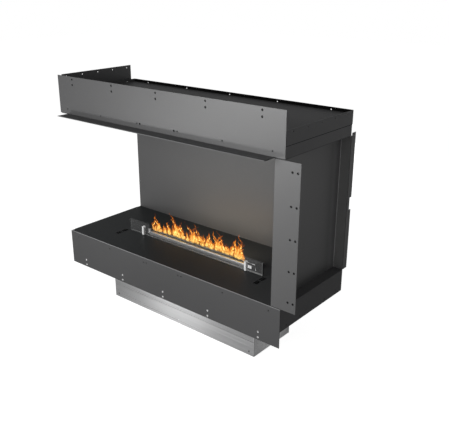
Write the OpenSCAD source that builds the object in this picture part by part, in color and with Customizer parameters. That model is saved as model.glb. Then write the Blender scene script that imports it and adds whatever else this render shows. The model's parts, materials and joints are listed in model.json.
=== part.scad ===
// Corner fireplace insert with a drop-in bioethanol burner.
// The front and the left side of the fire opening are open; the back and the right side are closed.
// Millimetres. X runs along the front, Y to the rear, Z up. The origin is the middle of the
// overall footprint, at the level of the burner tank's underside.

/* [Casing] */
// Width of the front panels
casing_w = 1200; // [1150:10:1500]
// Depth from the front panels' face to the back panel's face
casing_d = 443; // [430:1:600]
// Thickness of the powder-coated steel sheet
sheet = 2.5; // [2:0.5:3]
// Outer radius of a folded corner
fold_r = 4; // [3.5:0.5:6]

/* [Hearth base] */
// Height of the aprons below the fire opening
apron_h = 160; // [130:5:220]
// Height of the base tray's underside above the aprons' lower edge
tray_rise = 66; // [30:2:80]

/* [Fire opening] */
// Clear height between the hearth and the hood's panels
opening_h = 560; // [520:10:700]

/* [Hood] */
// Height of the hood's outer panels
hood_panel_h = 163; // [130:1:220]
// Height of the hood's lower tray
hood_tray_h = 43; // [38:1:60]
// Height of the hood's cover above the lower tray
hood_cover_h = 53; // [40:1:65]
// Depth of the cover's plate below its rim
cover_recess = 13; // [11:1:20]
// Step between the cover's faces and the lower tray's faces
tray_inset = 1.2; // [0.6:0.2:2]
// How far the ceiling's lip reaches out below the front panel
lip_out = 56; // [30:2:80]
// Distance from the casing's left end to the lip's left end
lip_inset = 52; // [20:2:120]
// Thickness of the insulation board in the hood
board_t = 18; // [10:1:25]

/* [Side panel and wall flange] */
// Distance from the casing's right end in to the side panel's outer face
side_inset = 43; // [30:1:80]
// How far the wall flange runs out past the casing's right end
flange_out = 62.3; // [50:0.1:90]
// Gap above and below the wall flange
flange_clear = 2; // [1:0.5:4]
// Distance from the flange's edge to its outer column of holes
flange_edge = 11.3; // [8:0.1:16]
// Distance between the flange's two columns of holes
flange_step = 21.7; // [15:0.1:28]
// Distance from the opening's lower and upper edges to the flange's outer rows of holes
flange_row_inset = 39.6; // [25:0.1:80]

/* [Left panels] */
// Length of the left hood panel and the left apron
left_panel_l = 400; // [380:5:405]
// Distance from the front face back to the left panels
left_panel_start = 20; // [10:1:24]

/* [Back panel] */
// Depth of the back panel's returns behind the casing
return_d = 28; // [20:1:40]
// Height of the notch for a hanging rail
notch_h = 52; // [30:1:80]
// Depth of the notch for a hanging rail
notch_d = 13; // [8:1:16]
// Width of a rear upright
upright_w = 40; // [30:1:60]
// Distance from the casing's middle to each rear upright
upright_x = 300; // [200:5:330]
// How far the rear uprights reach up behind the hood
upright_lap = 60; // [10:5:80]
// How far the back panel's returns reach up behind the hood
return_lap = 8; // [2:1:20]

/* [Fixing holes and screws] */
// Radius of the fixing holes in the panels and rims
fix_r = 2.75; // [2:0.05:3.5]
// Distance from the casing's ends to the outer fixing holes of the front and the rear
front_row_inset = 97; // [60:0.5:140]
// Distance from the left panels' ends to their outer fixing holes
side_row_inset = 24; // [15:0.5:60]
// Distance between the two holes of a pair
pair_pitch = 23; // [18:0.5:30]
// Distance from a panel's edge to its nearest fixing hole
pair_edge = 11; // [8:0.5:14]
// Distance from the casing's ends to the outer panel screws of the front
screw_row_inset = 52; // [40:0.5:80]
// Distance of the panel screws from the edge beside the fire opening
screw_edge = 20; // [14:0.5:22]
// Radius of a panel screw's shank
screw_r = 2; // [1.5:0.1:2.5]
// Radius of a panel screw's head
screw_head_r = 3.4; // [3:0.1:5]
// Height of a panel screw's head
screw_head_h = 1.8; // [1.2:0.1:2.5]
// Distance from the middle to each locating hole in the front panels
locating_x = 93; // [60:1:100]

/* [Burner tank] */
// Length of the tank
tank_l = 836; // [800:2:900]
// Width of the tank
tank_w = 251; // [240:1:300]
// How far the tank hangs below the aprons' lower edge
tank_drop = 158; // [140:2:220]
// Distance from the casing's front face to the tank's middle
tank_y = 217.5; // [214:0.5:225]
// Thickness of the stainless sheet
steel = 1.5; // [1:0.5:2]
// Radius of the small holes near the tank's lower edge
tank_hole_r = 1.8; // [1.5:0.1:2.5]
// Distance from the tank's ends and underside to the small holes
tank_hole_inset = 17; // [12:1:30]
// Width of the tank's hanging rim
rim_w = 12; // [8:1:16]

/* [Burner] */
// Length of the burner trough
trough_l = 556; // [500:2:560]
// Width of the burner trough
trough_w = 34; // [30:1:40]
// Height of the trough's rim above the hearth
trough_h = 14; // [10:1:20]
// Depth of the trough below the hearth
trough_depth = 30; // [25:1:40]
// Width of the flame slot
slot_w = 12; // [8:1:14]
// Gap round the trough in the hearth plate
trough_gap = 2; // [1:0.5:3]
// Depth of the flame grate below the trough's rim
grate_drop = 12; // [8:1:13]
// Number of openings in the flame grate
grate_count = 24; // [12:1:30]

/* [Glass screen] */
// Length of the glass pane
glass_l = 775; // [700:5:780]
// Height of the glass pane
glass_h = 55; // [48:1:90]
// Thickness of the glass pane
glass_t = 8; // [6:1:8]
// Distance from the casing's front face to the pane's middle
glass_y = 184; // [176:1:186]
// Radius of a glass holder
holder_r = 8; // [7:0.5:9]
// Height of a glass holder
holder_h = 39.5; // [32:0.5:44]
// Distance between the glass holders
holder_span = 600; // [500:10:640]

/* [Hearth air slots] */
// Length of an air slot
air_l = 28; // [20:1:30]
// Width of an air slot
air_w = 6; // [5:0.5:7]
// Distance from the tank's end to the middle of the slots
air_inset = 14; // [11:0.5:16]
// Distance between slots across the hearth
air_pitch_x = 10; // [9:0.5:12]
// Distance between slots along the depth
air_pitch_y = 37; // [32:1:40]
// Distance from the casing's front face to the middle of the slots
air_y = 142.5; // [140:0.5:150]

/* [Controls] */
// Width of the control box at its top
box_w = 47; // [44:1:56]
// Depth of the control box
box_d = 27; // [24:1:30]
// Height of the control box
box_h = 26; // [22:1:30]
// How far the control box's right end slopes out at its foot
box_slope = 5; // [2:0.5:8]
// Gap between the trough's end and the control box
box_gap = 6; // [4:0.5:8]
// Width of the start button
button_w = 19; // [14:0.5:22]
// Height of the start button
button_h = 13; // [10:0.5:15]
// How far the start button stands out of the control box
button_proud = 2.4; // [2.2:0.1:4]
// Travel of the start button
button_travel = 1.8; // [1:0.1:2]

/* [Fuel system] */
// Length of the fuel cell
cell_l = 330; // [280:5:340]
// Width of the fuel cell
cell_w = 185; // [160:5:190]
// Height of the fuel cell
cell_h = 205; // [160:5:210]
// Radius of the filler neck
neck_r = 5.6; // [5:0.1:7]
// Wall thickness of the filler neck
neck_wall = 1.2; // [0.8:0.1:1.6]
// Distance from the trough's end to the filler neck
neck_inset = 18; // [15:1:22]
// Height of the filler cap
cap_h = 15; // [12:1:20]
// Radius of the level float
float_r = 14; // [10:1:18]
// Height of the level float
float_h = 22; // [15:1:30]
// Radius of the fuel pipes
pipe_r = 4; // [3:0.5:5]
// Radius of the fuel pump's motor
pump_r = 24; // [18:1:26]

/* [Cooling fan] */
// Outer size of the fan's frame
fan_size = 60; // [50:2:60]
// Height of the fan's frame
fan_h = 16; // [14:1:20]
// Number of fan blades
fan_blades = 7; // [5:1:9]

/* [Fits] */
// Gap between pieces that lift off or slide
slide_gap = 0.3; // [0.25:0.05:0.5]
// Radial gap of a shaft that turns
run_gap = 0.05; // [0.03:0.01:0.08]
// Gap round a screw or a pipe in its hole
pass_gap = 0.3; // [0.2:0.05:0.5]

/* [Hidden] */
$fn = 48;

// Colours
coat = [0.17, 0.17, 0.18];
coat_dark = [0.10, 0.10, 0.11];
stainless = [0.66, 0.67, 0.68];
polished = [0.82, 0.83, 0.84];

// Cutters run past the faces they open: a small step, and the length of a drill through folded sheets
cut = 1;
drill_l = 20;

// Levels, from the aprons' lower edge
z_hearth = apron_h;
z_hearth_under = z_hearth - sheet;
z_ceiling = z_hearth + opening_h;
z_ceiling_under = z_ceiling - sheet;
z_seam = z_ceiling + hood_tray_h;
z_rim = z_seam + hood_cover_h;
z_cover = z_rim - cover_recess;
z_hood_top = z_ceiling + hood_panel_h;
rim_hole_gap = 0.5;
z_rim_holes = z_cover + fix_r + rim_hole_gap;
z_tray_holes = tray_rise + sheet + pair_edge;
z_opening_mid = (z_hearth + z_ceiling) / 2;

// Places across the casing
mid_x = casing_w / 2;
side_in = casing_w - side_inset - sheet;
side_out = casing_w - side_inset;
flange_end = casing_w + flange_out;
side_mid_y = left_panel_start + left_panel_l / 2;

// Rows of fixing holes and screws: how many, and how far apart
row_holes = 5;
front_screw_count = 6;
left_screw_count = 3;
front_pitch = (casing_w - 2 * front_row_inset) / (row_holes - 1);
side_pitch = (left_panel_l - 2 * side_row_inset) / (row_holes - 1);
flange_pitch = (opening_h - 2 * flange_row_inset) / (row_holes - 1);
screw_pitch = (casing_w - 2 * screw_row_inset) / (front_screw_count - 1);

// The burner, between the hearth plate and the tank
deck_t = sheet;
z_deck_under = z_hearth_under - deck_t;
z_tank_rim = z_deck_under - steel;
z_tank = -tank_drop;
tank_left = mid_x - tank_l / 2;
tank_right = mid_x + tank_l / 2;
tank_front = tank_y - tank_w / 2;
tank_back = tank_y + tank_w / 2;
tank_clear = 1;
z_trough_rim = z_hearth + trough_h;
z_trough_floor = z_hearth - trough_depth;
trough_left = mid_x - trough_l / 2;
trough_right = mid_x + trough_l / 2;
trough_front = tank_y - trough_w / 2;
trough_back = tank_y + trough_w / 2;
z_grate = z_trough_rim - grate_drop;
grate_t = 1.2;
lip_fold_r = 2.2;
glass_seat = 2;

// The control box
box_left = trough_right + box_gap;
box_front = tank_y - box_d / 2;
box_t = 1.2;
button_inset = 21;
button_rise = 8.8;
button_x = box_left + button_inset;
button_z = z_hearth + button_rise;
button_inner = 3;
plunger_r = 3;
plunger_reach = 3;
switch_front = box_front + button_inner + button_travel + slide_gap;
lead_edge = 9;
lead_x = box_left + box_w - lead_edge;
lead_r = 3;
igniter_r = 3;
z_igniter = z_hearth + trough_h / 2 + steel;
igniter_reach = 12;

// The fuel system
cell_inset = 22;
cell_left = tank_left + cell_inset;
cell_front = tank_y - cell_w / 2;
z_cell = z_tank + steel;
z_cell_top = z_cell + cell_h;
cell_t = 1.5;
lid_t = 2;
lid_lip = 4;
z_lid_top = z_cell_top + lid_t;
neck_x = trough_left - neck_inset;
neck_collar_out = 4;
neck_collar_r = neck_r + neck_collar_out;
neck_collar_t = 1.5;
neck_dip = 6;
cap_wall = 1.4;
cap_r = neck_r + slide_gap + cap_wall;
cap_top_t = 2.5;
neck_up = cap_h - cap_top_t;
stem_inset = 60;
stem_x = cell_left + cell_l - stem_inset;
stem_r = 3;
stem_stop_r = 6;
stem_foot = 12;
stem_stop_h = 3;
stem_head_r = 9;
stem_head_h = 8;
float_edge_r = 3;
pump_gap = 34;
pump_x = cell_left + cell_l + pump_gap + pump_r;
pump_l = 62;
pump_rise = 6;
z_pump = z_tank + steel + pump_r + pump_rise;
suction_y = tank_y;
pipe_wall = 1;
collar_out = 3;
collar_l = 5;
pipe_in = 10;
socket_l = 8;
feed_up = 4;
feed_y = tank_y + trough_w / 2 - 2 * steel - pipe_r;

// The electronics, below the control box's lead
tray_l = 230;
lead_inset = 30;
tray_x = lead_x + lead_inset - tray_l;
tray_d = 150;
tray_h = 22;
tray_front = tank_y - tray_d / 2;
z_tray = z_tank + steel;
board_l = 200;
board_w = 120;
circuit_t = 1.6;
component_h = 26;
post_in = 8;
post_r = 4;
board_rise = 11;
z_board = z_tray + steel + board_rise;
inlet_inset = 78;
inlet_x = tank_right - inlet_inset;
inlet_w = 48;
inlet_h = 28;
inlet_d = 20;
inlet_flange = 2;
inlet_edge = 4;
inlet_wall = 3;
inlet_rise = 62;
z_inlet = z_tank + inlet_rise;

// The fan hangs beside the right air slots
fan_slot_gap = 6;
slots_end_x = tank_right - steel - air_inset - (air_pitch_x + air_w) / 2;
fan_x = slots_end_x - fan_slot_gap - fan_size / 2;
fan_y = air_y;
z_fan = z_deck_under - fan_h;
fan_wall = 2;
fan_bore_r = fan_size / 2 - fan_wall;
hub_r = 12;
shaft_r = 2;
spider_t = 3;
blade_t = 1.2;
blade_pitch = 40;

// Moves a piece from the casing's left front corner to the part's own frame
module in_frame() {
    translate([(screw_head_h - flange_end) / 2, (lip_out - casing_d - return_d) / 2, tank_drop]) children();
}

// Even places about zero, n of them
function spread(n, pitch) = [for (i = [0:n - 1]) (i - (n - 1) / 2) * pitch];

// A block between two corners
module block(low, high) {
    translate(low) cube(high - low);
}

// An outline in the YZ plane, drawn out along X
module along_x(x, length) {
    translate([x, 0, 0]) rotate([90, 0, 90]) linear_extrude(length) children();
}

// An outline in the XZ plane, drawn out along Y
module along_y(y, length) {
    translate([0, y + length, 0]) rotate([90, 0, 0]) linear_extrude(length) children();
}

// Round bars along each axis, centred on a point
module bar_x(at, r, length) {
    translate(at) rotate([0, 90, 0]) cylinder(r = r, h = length, center = true);
}

module bar_y(at, r, length) {
    translate(at) rotate([90, 0, 0]) cylinder(r = r, h = length, center = true);
}

module rounded_rect(w, d, r) {
    translate([r, 0]) square([w - 2 * r, d]);
    translate([0, r]) square([w, d - 2 * r]);
    for (x = [r, w - r], y = [r, d - r]) translate([x, y]) circle(r);
}

// A sheet folded to an L: outer corner at the origin, one leg along each axis
module angle_section(a, b, t, r) {
    translate([r, 0]) square([a - r, t]);
    translate([0, r]) square([t, b - r]);
    translate([r, r]) intersection() {
        difference() {
            circle(r);
            circle(r - t);
        }
        translate([-r, -r]) square(r);
    }
}

// A sheet folded to a U, open towards +Y
module channel_section(w, d, t, r) {
    angle_section(w / 2, d, t, r);
    translate([w, 0]) mirror([1, 0]) angle_section(w / 2, d, t, r);
}

// Walls of a folded box, with its outer faces on the given corners
module walls(low, high, t) {
    translate(low) linear_extrude(high[2] - low[2]) difference() {
        rounded_rect(high[0] - low[0], high[1] - low[1], fold_r);
        translate([t, t]) rounded_rect(high[0] - low[0] - 2 * t, high[1] - low[1] - 2 * t, fold_r - t);
    }
}

// A flat plate with the same rounded corners
module plate(low, high, r) {
    translate(low) linear_extrude(high[2] - low[2]) rounded_rect(high[0] - low[0], high[1] - low[1], r);
}

// Fixing holes: rows through the front and the rear, and through the sides
module front_rows(y, heights) {
    for (x = spread(row_holes, front_pitch), z = heights) bar_y([mid_x + x, y, z], fix_r, drill_l);
}

module side_row(x, z) {
    for (y = spread(row_holes, side_pitch)) bar_x([x, side_mid_y + y, z], fix_r, drill_l);
}

// Places of the panel screws along the front and the left side
front_screws = [for (x = spread(front_screw_count, screw_pitch)) mid_x + x];
left_screws = [for (y = spread(left_screw_count, 1.5 * side_pitch)) side_mid_y + y];

module screw_holes(z) {
    for (x = front_screws) bar_y([x, 0, z], screw_r + pass_gap, drill_l);
    for (y = left_screws) bar_x([0, y, z], screw_r + pass_gap, drill_l);
}

// Two holes in the front, through both sheets, that locate the panel on its tray
module locating_holes(z) {
    for (side = [-1, 1]) bar_y([mid_x + side * locating_x, 0, z], fix_r, drill_l);
}

// A pan-head screw with a hexagon socket, its axis along Z and its seat at the origin
module panel_screw() {
    rim_h = 0.7;
    thread_out = 2;
    shank_l = 2 * sheet + thread_out;
    crown_r = 0.65 * screw_head_r;
    socket_r = 0.45 * screw_head_r;
    socket_h = 1;
    difference() {
        union() {
            translate([0, 0, -shank_l]) cylinder(r = screw_r, h = shank_l + rim_h);
            cylinder(r = screw_head_r, h = rim_h);
            translate([0, 0, rim_h])
                cylinder(r1 = screw_head_r, r2 = crown_r, h = screw_head_h - rim_h);
        }
        translate([0, 0, screw_head_h - socket_h])
            cylinder(r = socket_r, h = socket_h + cut, $fn = 6);
    }
}

module screw_set(z) {
    for (x = front_screws) translate([x, 0, z]) rotate([90, 0, 0]) panel_screw();
    for (y = left_screws) translate([0, y, z]) rotate([0, -90, 0]) panel_screw();
}

// Outer panels of the hood
module hood_front_panel() {
    color(coat) in_frame() difference() {
        block([0, 0, z_ceiling], [casing_w, sheet, z_hood_top]);
        front_rows(0, [z_hood_top - pair_edge, z_hood_top - pair_edge - pair_pitch]);
        for (x = front_screws) bar_y([x, 0, z_ceiling + screw_edge], screw_r + pass_gap, drill_l);
        locating_holes(z_ceiling + screw_edge);
    }
}

module hood_left_panel() {
    color(coat) in_frame() difference() {
        block([0, left_panel_start, z_ceiling], [sheet, left_panel_start + left_panel_l, z_hood_top]);
        side_row(0, z_hood_top - pair_edge);
        side_row(0, z_rim_holes);
        screw_holes(z_ceiling + screw_edge);
    }
}

// Rim of the hood, a folded frame with fixing holes
module hood_rim() {
    color(coat) in_frame() difference() {
        walls([sheet, sheet, z_seam], [casing_w, casing_d, z_rim], sheet);
        front_rows(casing_d, [z_rim_holes]);
        side_row(0, z_rim_holes);
        side_row(casing_w, z_rim_holes);
    }
}

// Cover plate, welded into the rim below its edge
module hood_cover() {
    color(coat) in_frame()
        plate([2 * sheet, 2 * sheet, z_cover - sheet], [casing_w - sheet, casing_d - sheet, z_cover], fold_r);
}

module hood_tray() {
    low = [sheet, sheet, z_ceiling];
    high = [casing_w - tray_inset, casing_d - tray_inset, z_seam];
    color(coat) in_frame() difference() {
        union() {
            walls(low, high, sheet);
            plate(low, [high[0], high[1], z_ceiling + sheet], fold_r);
        }
        screw_holes(z_ceiling + screw_edge);
        locating_holes(z_ceiling + screw_edge);
    }
}

module insulation_board() {
    board_gap = 5;
    margin = sheet + fold_r + board_gap;
    color([0.80, 0.76, 0.68]) in_frame()
        block([sheet + margin, sheet + margin, z_ceiling + sheet],
              [casing_w - margin, casing_d - margin, z_ceiling + sheet + board_t]);
}

// Ceiling of the fire opening, with the lip that throws heat off the front panel
module ceiling_plate() {
    color(coat) in_frame() {
        plate([sheet, sheet, z_ceiling_under],
              [casing_w - tray_inset, casing_d - tray_inset, z_ceiling], fold_r);
        block([lip_inset, -lip_out, z_ceiling_under], [side_out, sheet + fold_r, z_ceiling]);
    }
}

module hood_screws() {
    color(coat_dark) in_frame() screw_set(z_ceiling + screw_edge);
}

// Right side wall of the fire opening, folded out at the front to a wall flange
module side_panel() {
    front = sheet;
    back = casing_d - sheet;
    color(coat) in_frame() difference() {
        translate([side_in, front, z_hearth])
            linear_extrude(z_ceiling_under - z_hearth)
                angle_section(flange_end - side_in, back - front, sheet, fold_r);
        for (z = [z_hearth - cut, z_ceiling_under - flange_clear])
            block([side_in + fold_r, 0, z], [flange_end + cut, front + sheet + cut, z + flange_clear + cut]);
        for (x = [flange_edge, flange_edge + flange_step], z = spread(row_holes, flange_pitch))
            bar_y([flange_end - x, front, z_opening_mid + z], fix_r, drill_l);
    }
}

// Outline of the gap in which a hanging rail runs, seen from the side
module rail_notch() {
    translate([casing_d + return_d - notch_d, z_opening_mid - notch_h / 2]) square([notch_d + cut, notch_h]);
}

// Back wall of the fire opening, folded back at both ends
module back_panel() {
    color(coat) in_frame() difference() {
        translate([0, casing_d - sheet, z_hearth])
            linear_extrude(z_ceiling + return_lap - z_hearth)
                channel_section(casing_w, return_d + sheet, sheet, fold_r);
        block([-cut, 0, z_ceiling_under], [casing_w + cut, casing_d + fold_r, z_hood_top]);
        along_x(-cut, casing_w + 2 * cut) rail_notch();
    }
}

// Channel uprights tie the base, the back panel and the hood together
module rear_uprights() {
    color(coat) in_frame() difference() {
        for (side = [-1, 1])
            translate([mid_x + side * upright_x - upright_w / 2, casing_d, tray_rise])
                linear_extrude(z_ceiling + upright_lap - tray_rise)
                    channel_section(upright_w, return_d, sheet, fold_r);
        along_x(-cut, casing_w + 2 * cut) rail_notch();
    }
}

// Openings through the hearth for the trough, the air slots, the filler neck and the lead
module burner_openings(gap) {
    block([trough_left - gap, trough_front - gap, z_hearth - drill_l],
          [trough_right + gap, trough_back + gap, z_hearth + drill_l]);
    for (end = [tank_left + air_inset + steel, tank_right - air_inset - steel])
        for (x = spread(2, air_pitch_x), y = spread(2, air_pitch_y))
            translate([end + x - air_w / 2, air_y + y - air_l / 2, z_hearth - drill_l])
                cube([air_w, air_l, 2 * drill_l]);
    translate([neck_x, tank_y, z_hearth - drill_l]) cylinder(r = neck_r + pass_gap, h = 2 * drill_l);
    translate([lead_x, tank_y, z_hearth - drill_l]) cylinder(r = lead_r + pass_gap, h = 2 * drill_l);
}

module hearth_plate() {
    color(coat_dark) in_frame() difference() {
        plate([sheet, sheet, z_hearth_under], [casing_w, casing_d, z_hearth], fold_r);
        burner_openings(trough_gap);
    }
}

// Frame below the hearth plate, folded from sheet, with fixing holes
module base_frame() {
    color(coat) in_frame() difference() {
        walls([sheet, sheet, tray_rise], [casing_w, casing_d, z_hearth_under], sheet);
        side_row(casing_w, z_tray_holes);
        side_row(0, z_tray_holes);
        screw_holes(z_hearth - screw_edge);
        locating_holes(z_hearth - screw_edge);
    }
}

// Floor of the base frame, cut out round the tank
module base_floor() {
    color(coat) in_frame() difference() {
        plate([2 * sheet, 2 * sheet, tray_rise],
              [casing_w - sheet, casing_d - sheet, tray_rise + sheet], fold_r);
        block([tank_left - tank_clear, tank_front - tank_clear, tray_rise - cut],
              [tank_right + tank_clear, tank_back + tank_clear, tray_rise + sheet + cut]);
    }
}

module front_apron() {
    color(coat) in_frame() difference() {
        block([0, 0, 0], [casing_w, sheet, z_hearth]);
        front_rows(0, [pair_edge, pair_edge + pair_pitch]);
        for (x = front_screws) bar_y([x, 0, z_hearth - screw_edge], screw_r + pass_gap, drill_l);
        locating_holes(z_hearth - screw_edge);
    }
}

module left_apron() {
    color(coat) in_frame() difference() {
        block([0, left_panel_start, 0], [sheet, left_panel_start + left_panel_l, z_hearth]);
        side_row(0, pair_edge);
        side_row(0, z_tray_holes);
        screw_holes(z_hearth - screw_edge);
    }
}

module apron_screws() {
    color(coat_dark) in_frame() screw_set(z_hearth - screw_edge);
}

// Stainless tank that hangs below the hearth
module tank_shell() {
    color(stainless) in_frame() difference() {
        union() {
            walls([tank_left, tank_front, z_tank], [tank_right, tank_back, z_tank_rim], steel);
            plate([tank_left, tank_front, z_tank], [tank_right, tank_back, z_tank + steel], fold_r);
        }
        for (x = spread(3, tank_l / 2 - 1.5 * tank_hole_inset))
            bar_y([mid_x + x, tank_y, z_tank + tank_hole_inset], tank_hole_r, tank_w + drill_l);
        inlet_block(inlet_edge - slide_gap, -2 * steel, steel);
    }
}

// Rim welded on the tank's upper edge, by which the tank hangs
module tank_rim() {
    color(stainless) in_frame() difference() {
        plate([tank_left - rim_w, tank_front - rim_w, z_tank_rim],
              [tank_right + rim_w, tank_back + rim_w, z_deck_under], fold_r);
        block([tank_left + steel, tank_front + steel, z_tank_rim - cut],
              [tank_right - steel, tank_back - steel, z_deck_under + cut]);
    }
}

// Deck that carries the burner, on the tank's rim and under the hearth plate
module burner_deck() {
    color(stainless) in_frame() difference() {
        plate([tank_left - rim_w, tank_front - rim_w, z_deck_under],
              [tank_right + rim_w, tank_back + rim_w, z_hearth_under], fold_r);
        burner_openings(slide_gap);
    }
}

// Trough: a channel with a folded rim that leaves the flame slot, hung below the deck
module trough_section() {
    lip_w = (trough_w - slot_w) / 2;
    height = z_trough_rim - z_trough_floor;
    for (side = [0, 1]) translate([side * trough_w, 0]) mirror([side, 0]) {
        translate([0, height]) mirror([0, 1]) angle_section(lip_w, height, steel, lip_fold_r);
        translate([-rim_w, z_tank_rim - z_trough_floor]) square([rim_w + steel, steel]);
    }
    square([trough_w, steel]);
}

module burner_trough() {
    color(stainless) in_frame() difference() {
        union() {
            translate([0, trough_front, z_trough_floor]) along_x(trough_left, trough_l) trough_section();
            for (x = [trough_left, trough_right - steel])
                block([x, trough_front + steel / 2, z_trough_floor],
                      [x + steel, trough_back - steel / 2, z_trough_rim - steel / 2]);
        }
        bar_x([trough_right, tank_y, z_igniter], igniter_r + pass_gap, 4 * steel);
        translate([pump_x, feed_y, z_trough_floor - cut])
            cylinder(r = pipe_r + pass_gap, h = steel + 2 * cut);
    }
}

// Grate below the flame slot, with a row of long openings
module flame_grate() {
    inner_w = trough_w - 2 * steel - 2 * slide_gap;
    inner_l = trough_l - 2 * steel - 2 * slide_gap;
    pitch = inner_l / (grate_count + 1);
    color(coat_dark) in_frame() translate([mid_x, tank_y, z_grate - grate_t]) difference() {
        translate([-inner_l / 2, -inner_w / 2, 0]) cube([inner_l, inner_w, grate_t]);
        for (x = spread(grate_count, pitch))
            translate([x - pitch / 3, -slot_w / 4, -cut])
                cube([2 * pitch / 3, slot_w / 2, grate_t + 2 * cut]);
    }
}

// Ceramic wick that lies in the trough and carries the grate
module burner_wick() {
    side_gap = 2;
    inner_w = trough_w - 2 * steel - 2 * side_gap;
    inner_l = trough_l - 2 * steel - 2 * igniter_reach - 4 * side_gap;
    wick_h = z_grate - grate_t - z_trough_floor - steel;
    color([0.86, 0.84, 0.80]) in_frame() difference() {
        translate([mid_x - inner_l / 2, tank_y - inner_w / 2, z_trough_floor + steel])
            cube([inner_l, inner_w, wick_h]);
        translate([pump_x, feed_y, z_trough_floor]) cylinder(r = pipe_r + cut, h = steel + feed_up + cut);
    }
}

// Fuel cell with a folded lid
module fuel_cell() {
    low = [cell_left, cell_front, z_cell];
    color([0.72, 0.73, 0.74]) in_frame() difference() {
        union() {
            walls(low, [low[0] + cell_l, low[1] + cell_w, z_cell_top], cell_t);
            plate(low, [low[0] + cell_l, low[1] + cell_w, z_cell + cell_t], fold_r);
        }
        bar_x([cell_left + cell_l, suction_y, z_pump], pipe_r + pass_gap, 6 * cell_t);
    }
}

module fuel_cell_lid() {
    color(stainless) in_frame() difference() {
        union() {
            plate([cell_left - lid_lip, cell_front - lid_lip, z_cell_top],
                  [cell_left + cell_l + lid_lip, cell_front + cell_w + lid_lip, z_lid_top], fold_r);
            walls([cell_left - lid_lip, cell_front - lid_lip, z_cell_top - 2 * lid_lip],
                  [cell_left + cell_l + lid_lip, cell_front + cell_w + lid_lip, z_lid_top], cell_t);
        }
        translate([neck_x, tank_y, z_cell_top - cut]) cylinder(r = neck_r + pass_gap, h = lid_t + 2 * cut);
        translate([stem_x, tank_y, z_cell_top - cut]) cylinder(r = stem_r + pass_gap, h = lid_t + 2 * cut);
    }
}

// Level sensor: a stem with a head on the lid and a stop at its foot
module level_stem() {
    color(polished) in_frame() translate([stem_x, tank_y, 0]) {
        translate([0, 0, z_cell + stem_foot]) cylinder(r = stem_r, h = z_lid_top - z_cell - stem_foot + cut);
        translate([0, 0, z_cell + stem_foot]) cylinder(r = stem_stop_r, h = stem_stop_h);
        translate([0, 0, z_lid_top]) cylinder(r = stem_head_r, h = stem_head_h, $fn = 6);
    }
}

module level_float() {
    color([0.85, 0.55, 0.20]) in_frame()
        translate([stem_x, tank_y, z_cell + stem_foot + stem_stop_h + slide_gap])
            rotate_extrude() translate([stem_r + slide_gap, 0])
                rounded_rect(float_r - stem_r - slide_gap, float_h, float_edge_r);
}

// Filler neck: a tube from the fuel cell up through the hearth, with a collar on the hearth
module filler_neck() {
    bore_r = neck_r - neck_wall;
    foot = z_cell_top - neck_dip;
    top = z_hearth + neck_up;
    color(polished) in_frame() translate([neck_x, tank_y, 0]) difference() {
        union() {
            translate([0, 0, foot]) cylinder(r = neck_r, h = top - foot);
            translate([0, 0, z_lid_top]) cylinder(r = neck_collar_r, h = neck_collar_t);
            translate([0, 0, z_hearth]) cylinder(r = neck_collar_r, h = neck_collar_t);
        }
        translate([0, 0, foot - cut]) cylinder(r = bore_r, h = top - foot + 2 * cut);
    }
}

// Filler cap with a fluted rim; it lifts off the neck
module filler_cap() {
    seat = z_hearth + neck_collar_t + slide_gap;
    flute_r = 0.8;
    bevel = 1;
    color(polished) in_frame() translate([neck_x, tank_y, seat]) difference() {
        union() {
            cylinder(r = cap_r, h = cap_h);
            translate([0, 0, cap_h]) cylinder(r1 = cap_r, r2 = cap_r - bevel, h = bevel);
        }
        translate([0, 0, -cut]) cylinder(r = neck_r + slide_gap, h = neck_up - neck_collar_t + cut);
        for (a = [0:30:330])
            rotate([0, 0, a]) translate([cap_r + flute_r / 2, 0, 2 * bevel]) cylinder(r = flute_r, h = cap_h);
    }
}

// Fuel pump: motor, head and foot
module fuel_pump() {
    head_l = 16;
    head_out = 3;
    foot_t = 5;
    web_w = 8;
    z_foot = z_tank + steel;
    color([0.25, 0.26, 0.28]) in_frame() difference() {
        union() {
            bar_y([pump_x, tank_y, z_pump], pump_r, pump_l);
            bar_y([pump_x, tank_y - (pump_l - head_l) / 2, z_pump], pump_r + head_out, head_l);
            block([pump_x - pump_r, tank_y - pump_l / 2, z_foot],
                  [pump_x + pump_r, tank_y + pump_l / 2, z_foot + foot_t]);
            for (y = spread(2, 2 * pump_l / 3))
                block([pump_x - pump_r / 2, tank_y + y - web_w / 2, z_foot],
                      [pump_x + pump_r / 2, tank_y + y + web_w / 2, z_pump]);
        }
        bar_x([pump_x - pump_r, suction_y, z_pump], pipe_r + pass_gap, 2 * socket_l + 2 * cut);
        translate([pump_x, feed_y, z_pump + pump_r - socket_l - cut])
            cylinder(r = pipe_r + pass_gap, h = drill_l);
    }
}

// Fuel pipes, each held in the sockets at its two ends
module suction_pipe() {
    start = cell_left + cell_l - pipe_in;
    end = pump_x - pump_r + socket_l;
    color(stainless) in_frame() difference() {
        union() {
            bar_x([(start + end) / 2, suction_y, z_pump], pipe_r, end - start);
            bar_x([cell_left + cell_l + collar_l / 2, suction_y, z_pump], pipe_r + collar_out, collar_l);
        }
        bar_x([(start + end) / 2, suction_y, z_pump], pipe_r - pipe_wall, end - start + 2 * cut);
    }
}

module feed_pipe() {
    start = z_pump + pump_r - socket_l;
    end = z_trough_floor + steel + feed_up;
    color(stainless) in_frame() translate([pump_x, feed_y, 0]) difference() {
        union() {
            translate([0, 0, start]) cylinder(r = pipe_r, h = end - start);
            translate([0, 0, z_trough_floor - collar_l]) cylinder(r = pipe_r + collar_out, h = collar_l);
        }
        translate([0, 0, start - cut]) cylinder(r = pipe_r - pipe_wall, h = end - start + 2 * cut);
    }
}

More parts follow.
